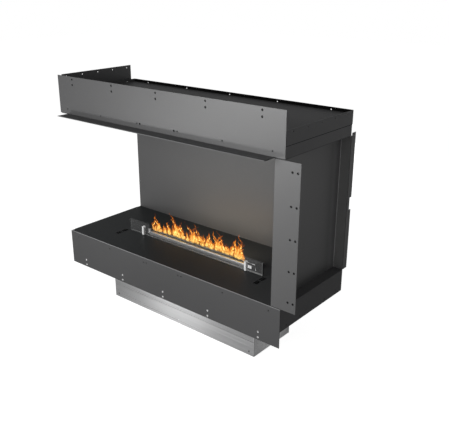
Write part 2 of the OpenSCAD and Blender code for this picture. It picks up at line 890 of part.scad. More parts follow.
// Glow igniter: a rod from the control box through the trough's end, with a ceramic tip and a nut
module igniter() {
    rod_in = 5;
    tip_l = 9;
    tip_step = 0.8;
    nut_out = 2;
    start = trough_right - igniter_reach;
    end = box_left + box_t + rod_in;
    color([0.88, 0.87, 0.84]) in_frame() {
        bar_x([(start + tip_l + end) / 2, tank_y, z_igniter], igniter_r, end - start - tip_l);
        bar_x([start + (tip_l + cut) / 2, tank_y, z_igniter], igniter_r - tip_step, tip_l + cut);
        bar_x([box_left - box_t, tank_y, z_igniter], igniter_r + nut_out, 2 * box_t);
    }
}

// Control box at the trough's end, with one sloping end
module box_outline(inset) {
    right = box_left + box_w - inset;
    top = z_hearth + box_h - inset;
    left = box_left + inset;
    polygon([[left, z_hearth], [right + box_slope, z_hearth], [right, top], [left, top]]);
}

module control_box() {
    hole_w = button_w + 2 * slide_gap;
    hole_h = button_h + 2 * slide_gap;
    color(stainless) in_frame() difference() {
        along_y(box_front, box_d) box_outline(0);
        along_y(box_front + box_t, box_d - 2 * box_t) box_outline(box_t);
        block([button_x - hole_w / 2, box_front - cut, button_z - hole_h / 2],
              [button_x + hole_w / 2, box_front + box_t + cut, button_z + hole_h / 2]);
        bar_x([box_left, tank_y, z_igniter], igniter_r + pass_gap, 4 * box_t);
    }
}

// Start button: a push plate in the front of the control box
module start_button() {
    color(polished) in_frame() {
        block([button_x - button_w / 2, box_front - button_proud, button_z - button_h / 2],
              [button_x + button_w / 2, box_front + button_inner, button_z + button_h / 2]);
        translate([button_x, box_front + button_inner, button_z]) rotate([-90, 0, 0])
            cylinder(r = plunger_r, h = switch_front + plunger_reach - box_front - button_inner);
    }
}

// Switch behind the button, on a foot that stands on the hearth
module button_switch() {
    body = [12, 9, 15];
    foot = [8, 0, 4];
    back = box_front + box_d - box_t - slide_gap;
    color([0.12, 0.12, 0.13]) in_frame() difference() {
        union() {
            block([button_x - body[0] / 2, switch_front, z_hearth],
                  [button_x + body[0] / 2, switch_front + body[1], z_hearth + body[2]]);
            block([button_x - foot[0] / 2, switch_front + body[1], z_hearth],
                  [button_x + foot[0] / 2, back, z_hearth + foot[2]]);
        }
        bar_y([button_x, switch_front, button_z], plunger_r + slide_gap,
              2 * (plunger_reach + button_travel + slide_gap));
    }
}

// Folded tray and circuit board below the fan
module electronics_tray() {
    color([0.70, 0.71, 0.72]) in_frame() {
        translate([tray_x, 0, z_tray]) rotate([90, 0, 90]) linear_extrude(tray_l)
            translate([tray_front, 0]) channel_section(tray_d, tray_h, steel, fold_r);
        for (x = spread(2, board_l - 2 * post_in), y = spread(2, board_w - 2 * post_in))
            translate([tray_x + tray_l / 2 + x, tank_y + y, z_tray + steel])
                cylinder(r = post_r, h = z_board - z_tray - steel);
    }
}

module control_board() {
    left = tray_x + (tray_l - board_l) / 2;
    front = tank_y - board_w / 2;
    // Place, length, width and height of the larger components, as shares of the board and the tallest one
    parts = [
        [0.10, 0.17, 0.23, 0.32, 1.00], [0.40, 0.15, 0.15, 0.25, 0.54], [0.63, 0.20, 0.26, 0.15, 0.38],
        [0.12, 0.63, 0.20, 0.22, 0.69], [0.40, 0.58, 0.29, 0.25, 0.31], [0.73, 0.60, 0.12, 0.28, 0.62]
    ];
    color([0.10, 0.32, 0.18]) in_frame() translate([left, front, z_board]) {
        cube([board_l, board_w, circuit_t]);
        for (p = parts)
            translate([p[0] * board_l, p[1] * board_w, circuit_t / 2])
                cube([p[2] * board_l, p[3] * board_w, p[4] * component_h]);
    }
}

// Lead from the control box down to the board
module sensor_lead() {
    top = z_hearth + box_h / 2;
    bottom = z_board + circuit_t;
    plug_h = 8;
    color([0.08, 0.08, 0.09]) in_frame() translate([lead_x, tank_y, bottom]) {
        cylinder(r = lead_r, h = top - bottom);
        cylinder(r = 2 * lead_r, h = plug_h);
    }
}

// Cooling fan below the right air slots
module fan_frame() {
    corner_r = 5;
    arm_w = 4;
    fan_screw_r = 1.6;
    screw_inset = 5;
    hub_step = 1;
    screw_span = fan_size - 2 * screw_inset;
    color(coat_dark) in_frame() translate([fan_x, fan_y, z_fan]) {
        difference() {
            translate([-fan_size / 2, -fan_size / 2, 0])
                linear_extrude(fan_h) rounded_rect(fan_size, fan_size, corner_r);
            translate([0, 0, -cut]) cylinder(r = fan_bore_r, h = fan_h + 2 * cut);
            for (x = spread(2, screw_span), y = spread(2, screw_span))
                translate([x, y, -cut]) cylinder(r = fan_screw_r, h = fan_h + 2 * cut);
        }
        for (a = [0:120:240])
            rotate([0, 0, a]) translate([0, -arm_w / 2, 0]) cube([fan_bore_r + cut, arm_w, spider_t]);
        cylinder(r = hub_r - hub_step, h = spider_t);
        cylinder(r = shaft_r, h = fan_h - spider_t);
    }
}

// Rotor with pitched blades round a hub that runs on the frame's shaft
module fan_rotor() {
    blade_gap = 1;
    blade_root = 2;
    base = spider_t + slide_gap;
    hub_h = fan_h - base - blade_gap;
    blade_r = fan_bore_r - blade_gap;
    color([0.20, 0.20, 0.21]) in_frame() translate([fan_x, fan_y, z_fan + base]) difference() {
        union() {
            cylinder(r = hub_r, h = hub_h);
            intersection() {
                translate([0, 0, blade_gap]) cylinder(r = blade_r, h = hub_h - 2 * blade_gap);
                for (i = [0:fan_blades - 1]) rotate([0, 0, i * 360 / fan_blades])
                    translate([0, 0, hub_h / 2]) rotate([blade_pitch, 0, 0])
                        translate([hub_r - blade_root, -blade_t / 2, -hub_h])
                            cube([blade_r, blade_t, 2 * hub_h]);
            }
        }
        translate([0, 0, -cut]) cylinder(r = shaft_r + run_gap, h = hub_h);
    }
}

// Power inlet in the tank's rear wall: a block inset from its flange, between two depths from the wall
module inlet_block(inset, from, to) {
    block([inlet_x - inlet_w / 2 + inset, tank_back + from, z_inlet - inlet_h / 2 + inset],
          [inlet_x + inlet_w / 2 - inset, tank_back + to, z_inlet + inlet_h / 2 - inset]);
}

module power_inlet() {
    color(coat_dark) in_frame() difference() {
        union() {
            inlet_block(0, 0, inlet_flange);
            inlet_block(inlet_edge, -inlet_d, inlet_flange);
        }
        inlet_block(inlet_edge + inlet_wall, -inlet_d + inlet_wall, inlet_flange + cut);
    }
}

// Glass screen: a pane that stands in two slotted holders
module glass_pane() {
    base = z_hearth + glass_seat + slide_gap;
    color([0.75, 0.80, 0.80, 0.4]) in_frame()
        block([mid_x - glass_l / 2, glass_y - glass_t / 2, base],
              [mid_x + glass_l / 2, glass_y + glass_t / 2, base + glass_h]);
}

module glass_holders() {
    color(polished) in_frame() for (x = spread(2, holder_span)) translate([mid_x + x, glass_y, z_hearth])
        difference() {
            cylinder(r = holder_r, h = holder_h);
            translate([-holder_r - cut, -glass_t / 2 - slide_gap, glass_seat])
                cube([2 * (holder_r + cut), glass_t + 2 * slide_gap, holder_h]);
        }
}

hood_front_panel();
hood_left_panel();
hood_rim();
hood_cover();
hood_tray();
insulation_board();
ceiling_plate();
hood_screws();
side_panel();
back_panel();
rear_uprights();
hearth_plate();
base_frame();
base_floor();
front_apron();
left_apron();
apron_screws();
tank_shell();
tank_rim();
burner_deck();
burner_trough();
flame_grate();
burner_wick();
fuel_cell();
fuel_cell_lid();
level_stem();
level_float();
filler_neck();
filler_cap();
fuel_pump();
suction_pipe();
feed_pipe();
igniter();
control_box();
start_button();
button_switch();
electronics_tray();
control_board();
sensor_lead();
fan_frame();
fan_rotor();
power_inlet();
glass_pane();
glass_holders();
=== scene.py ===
import json
import math

import bmesh
import bpy
from mathutils import Matrix, Vector, noise


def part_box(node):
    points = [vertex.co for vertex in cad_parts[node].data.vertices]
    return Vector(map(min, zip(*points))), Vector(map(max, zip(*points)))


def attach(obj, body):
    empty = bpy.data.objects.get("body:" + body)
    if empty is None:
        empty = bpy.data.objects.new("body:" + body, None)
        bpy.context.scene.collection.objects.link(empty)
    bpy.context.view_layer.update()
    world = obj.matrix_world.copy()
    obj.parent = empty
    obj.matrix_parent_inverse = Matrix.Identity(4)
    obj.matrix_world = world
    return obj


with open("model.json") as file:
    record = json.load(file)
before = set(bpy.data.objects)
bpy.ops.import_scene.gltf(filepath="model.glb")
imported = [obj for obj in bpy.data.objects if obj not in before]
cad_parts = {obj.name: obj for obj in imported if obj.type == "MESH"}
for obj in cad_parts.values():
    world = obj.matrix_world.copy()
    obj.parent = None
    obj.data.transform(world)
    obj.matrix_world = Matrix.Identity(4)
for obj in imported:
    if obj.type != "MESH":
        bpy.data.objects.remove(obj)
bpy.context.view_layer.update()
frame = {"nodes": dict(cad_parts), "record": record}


# ---------------------------------------------------------------- sizes, in metres

MM = 0.001
PAST = 1.0  # beyond every face of the object
SHEET = 2.5 * MM
SKIN = 0.12 * MM  # how far a mask reaches past the face that it picks

# The grids of punched holes. A painted rim reaches from their radius outwards: painted shade, black, on most; painted
# light on the apron's; on the tank's, which are smaller holes, painted shade but for painted light at the middle one.
# Then come the holes' places
HOLE_R = 2.75 * MM
RIM = 2.2 * MM
APRON_RIM_PAINTED_LIGHT = 1.3 * MM
TANK_RIM = 0.3 * MM
ROW_PITCH = 251.5 * MM
PAIR_EDGE = 11 * MM
PAIR_PITCH = 23 * MM
FLANGE_STRIP = 40 * MM
FLANGE_MID = 280 * MM
FLANGE_PITCH = 120.2 * MM
FLANGE_EDGE = 11.3 * MM
FLANGE_STEP = 21.7 * MM
LOCATING_X = 93 * MM
LOCATING_Z = 20 * MM
TANK_HOLE_INSET = 17 * MM
TANK_CENTRE = 50 * MM

# The hearth's air slots: half their size with the painted shade round them, the middle of a group from the tank's end,
# the distance of its slots from that middle, and the middles of its two rows
SLOT_REACH = (3.8 * MM, 15.3 * MM)
AIR_INSET = 15.5 * MM
AIR_STEP = 5 * MM
AIR_SLOTS_Y = (-83.5 * MM, -46.5 * MM)

# Widths of the hood's dark seam with its painted shadow, of the painted highlights along the edges of the apron, the
# ceiling's lip and the side wall, of the painted light over the side wall's rear and on the strip outside it, and of
# the control box's bright frame
SEAM = 2.4 * MM
APRON_TOP = 1.6 * MM
LIP_EDGE = 1.2 * MM
REAR_EDGE = 2.2 * MM
REAR_PAINTED_LIGHT_DEPTH = 60 * MM
PAINTED_LIGHT_STRIP_WIDTH = 70 * MM
BOX_FRAME = 2.6 * MM

# The tank: where the painted shade on its front starts, darker towards the right, how far the right end's painted
# shade reaches round the corner, and half the width of the painted sheen on that end
FRONT_PAINTED_SHADE_FROM = 100 * MM
END_DEPTH = 4 * MM
END_PAINTED_SHEEN_HALF = 125 * MM

# The glass: its ground edge, the bevel at its right end, and where the painted highlight on its lower edge starts.
# The haze at an end: its strength, and the two distances from the end between which it fades
GROUND = 1.2 * MM
BEVEL = 3.2 * MM
EDGE_PAINTED_HIGHLIGHT_FROM = 200 * MM
LEFT_HAZE = (0.013, 110 * MM, 130 * MM)
RIGHT_HAZE = (0.13, 105 * MM, 95 * MM)
CLOUDY_FROM = 0.005


# ---------------------------------------------------------------- colours

BODY_COAT = (0.052, 0.052, 0.0535)
FRONT_COAT = (0.038, 0.038, 0.039)
HEARTH_COAT = (0.0265, 0.0283, 0.0292)
HEARTH_PAINTED_LIGHT = (0.049, 0.050, 0.051)
# painted shade: black for holes, slots, seams and recesses
PAINTED_SHADE_BLACK = (0.006, 0.006, 0.006)
RIGHT_FACE_PAINTED_LIGHT = (0.085, 0.085, 0.087)
FLANGE_FACE_PAINTED_LIGHT = (0.062, 0.062, 0.063)
STRIP_PAINTED_LIGHT = (0.27, 0.27, 0.27)
REAR_PAINTED_LIGHT = (0.14, 0.14, 0.142)
LIP_PAINTED_HIGHLIGHT = (0.11, 0.11, 0.112)
APRON_PAINTED_HIGHLIGHT = (0.26, 0.26, 0.265)
REAR_EDGE_PAINTED_HIGHLIGHT = (0.85, 0.85, 0.86)
BRIGHT_STEEL_AND_PAINTED_LIGHT = (1.0, 1.0, 1.0)
BURNER_STEEL = (0.72, 0.72, 0.72)
HOLDER_PAINTED_SHADE = (0.16, 0.16, 0.16)
TANK_STEEL = (0.60, 0.60, 0.605)
TANK_FRONT_PAINTED_SHADE = (0.355, 0.355, 0.36)
TANK_END_PAINTED_SHADE = (0.52, 0.52, 0.525)
TANK_END_PAINTED_SHEEN = (0.98, 0.98, 0.985)
BOX_COAT = (0.05, 0.05, 0.051)
BOX_TRIM = (0.9, 0.9, 0.91)
BOX_FRONT = (0.012, 0.012, 0.012)
GLASS_TINT = (0.80, 0.84, 0.83)
GLASS_HAZE = (0.19, 0.19, 0.19)
GLASS_EDGE = (0.88, 0.89, 0.89)
GLASS_END = (0.012, 0.014, 0.013)
FLOOR_PAPER = (0.35, 0.35, 0.35)
FIRE_LIGHT = (1.0, 0.83, 0.58)
WHITE = (1, 1, 1, 1)
BUTTON_PAINTED_GLOW = 0.6


# ---------------------------------------------------------------- shader nodes

def surface(name, colour, roughness, metallic=0.0, specular=0.5):
    """A new material, with its plain values on the shader's own sockets."""
    material = bpy.data.materials.new(name)
    material.use_nodes = True
    socket(material, "Base Color").default_value = (*colour, 1)
    socket(material, "Roughness").default_value = roughness
    socket(material, "Metallic").default_value = metallic
    socket(material, "Specular IOR Level").default_value = specular
    return material


def socket(material, name):
    """An input of the material's main shader."""
    return material.node_tree.nodes["Principled BSDF"].inputs[name]


def add(material, kind, **values):
    """A new node of that kind; a value whose name is a socket's is set there."""
    node = material.node_tree.nodes.new("ShaderNode" + kind)
    for name, value in values.items():
        if hasattr(node, name):
            setattr(node, name, value)
        else:
            node.inputs[name.replace("_", " ")].default_value = value
    return node


def link(material, source, target):
    """Joins an output to an input."""
    material.node_tree.links.new(source, target)


def place(material, stretch):
    """Object coordinates, stretched."""
    mapping = add(material, "Mapping", Scale=stretch)
    link(material, add(material, "TexCoord").outputs["Object"], mapping.inputs["Vector"])
    return mapping.outputs["Vector"]


def coordinates(material):
    """The object's own X, Y and Z."""
    parts = add(material, "SeparateXYZ")
    link(material, add(material, "TexCoord").outputs["Object"], parts.inputs["Vector"])
    return parts.outputs


def grain(material, scale, detail=2.0, stretch=(1, 1, 1), roughness=0.5, distortion=0.0):
    """Noise from 0 to 1 on the object's own coordinates, scale in waves a metre, twisted by the distortion."""
    texture = add(material, "TexNoise", Scale=scale, Detail=detail, Roughness=roughness, Distortion=distortion)
    link(material, place(material, stretch), texture.inputs["Vector"])
    return texture.outputs["Fac"]


def both(material, operation, one, other):
    """Two values joined by one operation; other may be a plain number."""
    node = add(material, "Math", operation=operation)
    link(material, one, node.inputs[0])
    if isinstance(other, (int, float)):
        node.inputs[1].default_value = other
    else:
        link(material, other, node.inputs[1])
    return node.outputs[0]


def times(material, one, other):
    """The product of two values; other may be a plain number."""
    return both(material, "MULTIPLY", one, other)


def between(material, value, low, high, start=0.3, end=0.7):
    """A value between start and end, carried over to low and high."""
    node = add(material, "MapRange", From_Min=start, From_Max=end, To_Min=low, To_Max=high)
    link(material, value, node.inputs["Value"])
    return node.outputs["Result"]


def inverse(material, mask):
    """0 where the mask is 1, and 1 where it is 0."""
    return between(material, mask, 1.0, 0.0, 0.0, 1.0)


def inside(material, **limits):
    """1 where each named coordinate of the object lies between its two limits."""
    parts = coordinates(material)
    mask = None
    for axis, (low, high) in limits.items():
        near = add(material, "Math", operation="COMPARE")
        link(material, parts[axis], near.inputs[0])
        near.inputs[1].default_value, near.inputs[2].default_value = (low + high) / 2, (high - low) / 2
        mask = times(material, mask, near.outputs[0]) if mask else near.outputs[0]
    return mask


def around_holes(material, row, first, pitch, column, places, width=RIM):
    """1 at the rims of a grid of holes: evenly spaced along the row axis, at the places on the column axis."""
    parts = coordinates(material)
    folded = add(material, "Math", operation="WRAP")
    link(material, parts[row], folded.inputs[0])
    folded.inputs[1].default_value, folded.inputs[2].default_value = first + pitch / 2, first - pitch / 2
    along = both(material, "SUBTRACT", folded.outputs[0], first)
    rims = None
    for at in places:
        offset = add(material, "CombineXYZ")
        link(material, along, offset.inputs["X"])
        link(material, both(material, "SUBTRACT", parts[column], at), offset.inputs["Y"])
        distance = add(material, "VectorMath", operation="LENGTH")
        link(material, offset.outputs[0], distance.inputs[0])
        rim = between(material, distance.outputs["Value"], 1.0, 0.0, HOLE_R + width / 2, HOLE_R + width)
        rims = both(material, "MAXIMUM", rims, rim) if rims else rim
    return rims


def mixed(material, value):
    """A colour mix that follows the value: its two colour inputs and its result."""
    mix = add(material, "Mix", data_type="RGBA")
    link(material, value, mix.inputs["Factor"])
    colours = [s for s in mix.inputs if s.type == "RGBA"]
    return colours[0], colours[1], [s for s in mix.outputs if s.type == "RGBA"][0]


def shade(material, value, dark, light):
    """Base colour that goes from dark to light with the value."""
    first, second, result = mixed(material, value)
    first.default_value, second.default_value = (*dark, 1), (*light, 1)
    link(material, result, socket(material, "Base Color"))


def paint(material, mask, colour):
    """Lays another colour over the base colour where the mask is 1."""
    target = socket(material, "Base Color")
    under = target.links[0].from_socket
    first, second, result = mixed(material, mask)
    link(material, under, first)
    second.default_value = (*colour, 1)
    link(material, result, target)


def paint_shade_black(material, mask):
    """Paints shade behind the mask: black, and without any gloss."""
    paint(material, mask, PAINTED_SHADE_BLACK)
    gloss = socket(material, "Specular IOR Level")
    before = gloss.links[0].from_socket if gloss.links else gloss.default_value
    link(material, times(material, inverse(material, mask), before), gloss)


def dull(material, value, low, high, start=0.3, end=0.7):
    """Roughness that goes from low to high with the value."""
    link(material, between(material, value, low, high, start, end), socket(material, "Roughness"))


def relief(material, value, depth, strength=1.0):
    """Raises the surface by the value, depth in metres."""
    bump = add(material, "Bump", Distance=depth, Strength=strength)
    link(material, value, bump.inputs["Height"])
    link(material, bump.outputs["Normal"], socket(material, "Normal"))


def see_through(material, share, shader):
    """Shows the shader by its share, and lets the rest of the light pass."""
    mix = add(material, "MixShader")
    link(material, share, mix.inputs["Fac"])
    link(material, add(material, "BsdfTransparent").outputs[0], mix.inputs[1])
    link(material, shader, mix.inputs[2])
    link(material, mix.outputs[0], material.node_tree.nodes["Material Output"].inputs["Surface"])


def scaled(colour, factor):
    """The colour, lighter or darker by the factor."""
    return tuple(c * factor for c in colour)


# ---------------------------------------------------------------- coats of the casing

def powder_coat(name, colour, roughness, specular):
    """Baked powder coat: a fine orange peel, and a faint unevenness of tone."""
    material = surface(name, colour, roughness, specular=specular)
    shade(material, grain(material, 5, 4), scaled(colour, 0.93), scaled(colour, 1.07))
    dull(material, grain(material, 260, 3), roughness - 0.05, roughness + 0.05)
    relief(material, grain(material, 900, 2), 0.05 * MM, 0.5)
    return material


def hood_front_coat():
    """The hood's front panel, with painted shade, black and without gloss, at the rims and walls of its punched holes.
    """
    material = powder_coat("powder_coat_hood_front", FRONT_COAT, 0.45, 1.0)
    low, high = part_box("hood_front_panel")
    middle = (low.x + high.x) / 2
    # painted shade: the walls of the punched holes, and then their rims, black and without gloss
    paint_shade_black(material, inside(material, X=(low.x + SHEET, high.x - SHEET), Y=(low.y + SKIN, high.y - SKIN),
                             Z=(low.z + SHEET, high.z - SHEET)))
    paint_shade_black(material, around_holes(material, "X", middle, ROW_PITCH, "Z",
                                   [high.z - PAIR_EDGE, high.z - PAIR_EDGE - PAIR_PITCH]))
    locating = around_holes(material, "X", middle + LOCATING_X, 2 * LOCATING_X, "Z", [low.z + LOCATING_Z])
    between_ends = inside(material, X=(middle - 1.5 * LOCATING_X, middle + 1.5 * LOCATING_X))
    paint_shade_black(material, times(material, locating, between_ends))
    return material


def front_apron_coat():
    """The front apron: painted lighter towards the right, with a painted highlight along its top edge and painted
    light at the rims of its lower holes.
    """
    material = powder_coat("powder_coat_front_apron", FRONT_COAT, 0.45, 0.62)
    low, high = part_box("front_apron")
    # painted light: lighter towards the right
    paint(material, between(material, coordinates(material)["X"], 0.0, 1.0, 0.0, high.x), scaled(FRONT_COAT, 1.5))
    # painted highlight along the top edge
    paint(material, inside(material, Z=(high.z - APRON_TOP, high.z + PAST)), APRON_PAINTED_HIGHLIGHT)
    # painted light at the rims of the lower holes
    paint(material, around_holes(material, "X", (low.x + high.x) / 2, ROW_PITCH, "Z",
                                 [low.z + PAIR_EDGE, low.z + PAIR_EDGE + PAIR_PITCH], APRON_RIM_PAINTED_LIGHT), BRIGHT_STEEL_AND_PAINTED_LIGHT)
    return material


def side_wall_coat():
    """The side wall: its flange is punched, with painted shade in its holes and a lighter front face; its outer face
    is painted darker, paler towards its rear, with a painted highlight along its rear edge.
    """
    material = powder_coat("powder_coat_side_wall", FRONT_COAT, 0.45, 1.0)
    low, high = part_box("side_panel")
    # painted shade: the walls of the flange's holes, black and without gloss
    paint_shade_black(material, inside(material, X=(high.x - FLANGE_STRIP, high.x - SHEET),
                             Y=(low.y + SKIN, low.y + SHEET - SKIN), Z=(low.z + SHEET, high.z - SHEET)))
    rims = around_holes(material, "Z", low.z + FLANGE_MID, FLANGE_PITCH, "X",
                        [high.x - FLANGE_EDGE, high.x - FLANGE_EDGE - FLANGE_STEP])
    # painted light: the flange's front face, lighter
    paint(material, inside(material, Y=(low.y - PAST, low.y + SKIN)), FLANGE_FACE_PAINTED_LIGHT)
    # painted shade: the rims of the flange's holes
    paint_shade_black(material, times(material, rims, inside(material, Y=(low.y - PAST, low.y + SHEET + SKIN))))
    # painted shade: the outer face, darker
    outer = inside(material, X=(low.x + SHEET - SKIN, low.x + SHEET + SKIN))
    paint(material, outer, scaled(FRONT_COAT, 0.82))
    # painted light: the outer face, paler towards its rear, where the corner shades it
    rear = between(material, coordinates(material)["Y"], 0.0, 1.0, high.y - REAR_PAINTED_LIGHT_DEPTH, high.y)
    paint(material, times(material, outer, rear), REAR_PAINTED_LIGHT)
    # painted highlight along the rear edge of the outer face
    edge = inside(material, Y=(high.y - REAR_EDGE, high.y + PAST))
    paint(material, times(material, outer, edge), REAR_EDGE_PAINTED_HIGHLIGHT)
    return material


def lip_coat():
    """The ceiling plate, with a painted highlight along the edge of its lip."""
    material = powder_coat("powder_coat_ceiling", scaled(BODY_COAT, 0.8), 0.55, 0.3)
    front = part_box("ceiling_plate")[0].y
    # painted highlight along the lip's edge
    paint(material, inside(material, Y=(front - PAST, front + LIP_EDGE)), LIP_PAINTED_HIGHLIGHT)
    return material


def back_panel_coat():
    """The back panel, with painted light on its strip outside the side wall."""
    material = powder_coat("powder_coat_back", FRONT_COAT, 0.48, 0.9)
    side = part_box("side_panel")[1].y
    low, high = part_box("back_panel")
    # painted light on the strip outside the side wall, which lies in shade
    strip = inside(material, X=(high.x - PAINTED_LIGHT_STRIP_WIDTH, high.x - SHEET), Y=(low.y - PAST, side + SKIN))
    paint(material, strip, STRIP_PAINTED_LIGHT)
    return material


def rim_coat():
    """The hood's rim, with painted shade inside, black and without gloss, and painted lighter on its right face."""
    material = powder_coat("powder_coat_rim", BODY_COAT, 0.55, 0.35)
    low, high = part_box("hood_rim")
    depth = SHEET + SKIN
    # painted shade: the inner faces, black and without gloss
    paint_shade_black(material, inside(material, X=(low.x + depth, high.x - SHEET + SKIN),
                             Y=(low.y + depth, high.y - SHEET + SKIN)))
    # painted light: the right face, lighter
    paint(material, inside(material, X=(high.x - SKIN, high.x + PAST)), RIGHT_FACE_PAINTED_LIGHT)
    return material


def hood_tray_coat():
    """The hood's lower tray, with a dark seam painted as shadow along its upper edge, and painted lighter on its right
    face.
    """
    material = powder_coat("powder_coat_hood_tray", BODY_COAT, 0.55, 0.35)
    low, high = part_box("hood_tray")
    seam = high.z - SEAM
    # painted shadow: the seam along the upper edge, black and without gloss
    paint_shade_black(material, inside(material, Z=(seam, high.z + PAST)))
    # painted light: the right face, lighter
    paint(material, inside(material, X=(high.x - SKIN, high.x + PAST), Z=(low.z - PAST, seam)), RIGHT_FACE_PAINTED_LIGHT)
    return material


def hearth_coat():
    """The hearth plate, painted lighter towards the right and on the ledge outside the side wall, with painted shade
    in and round its air slots.
    """
    material = powder_coat("powder_coat_hearth", HEARTH_COAT, 0.46, 0.05)
    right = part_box("hearth_plate")[1].x
    # painted light: lighter towards the right
    paint(material, between(material, coordinates(material)["X"], 0.0, 1.0, 0.0, right), HEARTH_PAINTED_LIGHT)
    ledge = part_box("side_panel")[0].x
    # painted light: the ledge outside the side wall, lighter
    paint(material, inside(material, X=(ledge, ledge + PAST)), RIGHT_FACE_PAINTED_LIGHT)
    tank_low, tank_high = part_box("tank_shell")
    reach_x, reach_y = SLOT_REACH
    # painted shade: the air slots and a rim round them, black and without gloss
    for group in (tank_low.x + AIR_INSET, tank_high.x - AIR_INSET):
        for x in (group - AIR_STEP, group + AIR_STEP):
            for y in AIR_SLOTS_Y:
                paint_shade_black(material, inside(material, X=(x - reach_x, x + reach_x), Y=(y - reach_y, y + reach_y)))
    return material


# ---------------------------------------------------------------- steel of the tank and the burner

# How a grain is stretched: along a sheet, finer along the tank's walls, and round a turned piece
ALONG_X = (0.02, 1, 1)
WALL_GRAIN = (0.004, 1, 1)
ROUND = (0.5, 0.5, 1)


def brushed_steel(name, colour, roughness, stretch, depth=0.02, lines=60):
    """Stainless sheet, brushed along the stretch: the depth in millimetres, the lines in waves a metre."""
    material = surface(name, colour, roughness, metallic=1.0)
    streaks = grain(material, lines, 6, stretch, 0.7)
    shade(material, streaks, scaled(colour, 0.86), scaled(colour, 1.1))
    dull(material, streaks, roughness - 0.07, roughness + 0.09)
    relief(material, grain(material, 2 * lines, 4, stretch, 0.7), depth * MM, 0.6)
    return material


def satin_steel(name, colour, roughness, stretch, metallic, depth=0.02):
    """Brushed steel that scatters a part of the light instead of mirroring it."""
    material = brushed_steel(name, colour, roughness, stretch, depth)
    socket(material, "Metallic").default_value = metallic
    return material


def holder_finish():
    """The glass holders: polished, with painted shade on the faces towards the right."""
    material = satin_steel("holder_polished_steel", BRIGHT_STEEL_AND_PAINTED_LIGHT, 0.3, ROUND, 0.25, 0.008)
    # painted shade: the faces towards the right, darker
    facing = add(material, "SeparateXYZ")
    link(material, add(material, "NewGeometry").outputs["Normal"], facing.inputs["Vector"])
    paint(material, between(material, facing.outputs["X"], 0.0, 1.0, 0.5, 0.9), HOLDER_PAINTED_SHADE)
    return material


def tank_finish():
    """The tank's walls, brushed along their length, which smears a reflection up and down.

    The front has painted shade towards the right, the right end is painted darker with a painted sheen in its middle,
    and the holes have painted shade but for the middle one, which has painted light.
    """
    material = brushed_steel("tank_brushed_walls", TANK_STEEL, 0.30, WALL_GRAIN, 0.004, 230)
    socket(material, "Anisotropic").default_value = 0.95
    link(material, add(material, "CombineXYZ", Z=1.0).outputs[0], socket(material, "Tangent"))
    low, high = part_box("tank_shell")
    # painted shade: darker towards the right
    paint(material, between(material, coordinates(material)["X"], 0.0, 1.0, FRONT_PAINTED_SHADE_FROM, high.x), TANK_FRONT_PAINTED_SHADE)
    # painted shade on the right end, and a painted sheen in its middle
    end = inside(material, X=(high.x - END_DEPTH, high.x + PAST))
    off_middle = add(material, "Math", operation="ABSOLUTE")
    link(material, both(material, "SUBTRACT", coordinates(material)["Y"], (low.y + high.y) / 2), off_middle.inputs[0])
    sheen = between(material, off_middle.outputs[0], 1.0, 0.0, 0.0, END_PAINTED_SHEEN_HALF)
    paint(material, end, TANK_END_PAINTED_SHADE)
    paint(material, times(material, end, sheen), TANK_END_PAINTED_SHEEN)
    middle = (low.x + high.x) / 2
    pitch = (high.x - low.x) / 2 - 1.5 * TANK_HOLE_INSET
    # painted shade at the holes' rims, and painted light at the middle one's
    rims = around_holes(material, "X", middle, pitch, "Z", [low.z + TANK_HOLE_INSET], TANK_RIM)
    paint_shade_black(material, rims)
    centre = inside(material, X=(middle - TANK_CENTRE, middle + TANK_CENTRE))
    paint(material, times(material, rims, centre), BRIGHT_STEEL_AND_PAINTED_LIGHT)
    return material


def scorched_steel():
    """Grate steel that the flames have blackened and blued."""
    material = surface("scorched_grate_steel", (0.02, 0.017, 0.015), 0.6, metallic=0.7)
    shade(material, grain(material, 90, 5), (0.012, 0.010, 0.010), (0.055, 0.045, 0.05))
    dull(material, grain(material, 160, 4), 0.45, 0.8)
    relief(material, grain(material, 420, 4), 0.08 * MM)
    return material


# ---------------------------------------------------------------- fittings and glass

def control_box_finish():
    """The control box: a grey housing whose front is black, framed at its top and right by a bright edge."""
    material = powder_coat("control_box_coat", BOX_COAT, 0.45, 0.3)
    low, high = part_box("control_box")
    front = (low.y - PAST, low.y + SKIN)
    paint(material, inside(material, Y=front), BOX_TRIM)
    paint(material, inside(material, X=(low.x, high.x - BOX_FRAME), Y=front, Z=(low.z, high.z - BOX_FRAME)), BOX_FRONT)
    return material


def button_with_painted_glow():
    """The start button: pale and satin, with a painted glow on its front, though it is no lamp."""
    material = surface("start_button_painted_glow", BOX_TRIM, 0.35)
    shade(material, grain(material, 60, 3), (0.84, 0.84, 0.85), (0.94, 0.94, 0.95))
    dull(material, grain(material, 300, 2), 0.3, 0.42)
    socket(material, "Emission Color").default_value = WHITE
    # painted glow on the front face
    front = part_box("start_button")[0].y
    face = inside(material, Y=(front - PAST, front + SKIN))
    link(material, between(material, face, 0.0, BUTTON_PAINTED_GLOW, 0.0, 1.0), socket(material, "Emission Strength"))
    return material


def fibre_ceramic(name, colour, scale):
    """Pressed mineral or ceramic fibre: dull, with a felted surface."""
    material = surface(name, colour, 0.95, specular=0.2)
    shade(material, grain(material, scale, 6, roughness=0.75), scaled(colour, 0.72), scaled(colour, 1.05))
    relief(material, grain(material, 2 * scale, 6, roughness=0.8), 0.5 * MM)
    return material


def moulded_plastic(name, colour, roughness):
    """Moulded plastic with a fine spark-eroded grain."""
    material = surface(name, colour, roughness, specular=0.4)
    shade(material, grain(material, 40, 3), scaled(colour, 0.9), scaled(colour, 1.12))
    dull(material, grain(material, 700, 2), roughness - 0.06, roughness + 0.06)
    relief(material, grain(material, 1400, 2), 0.03 * MM, 0.6)
    return material


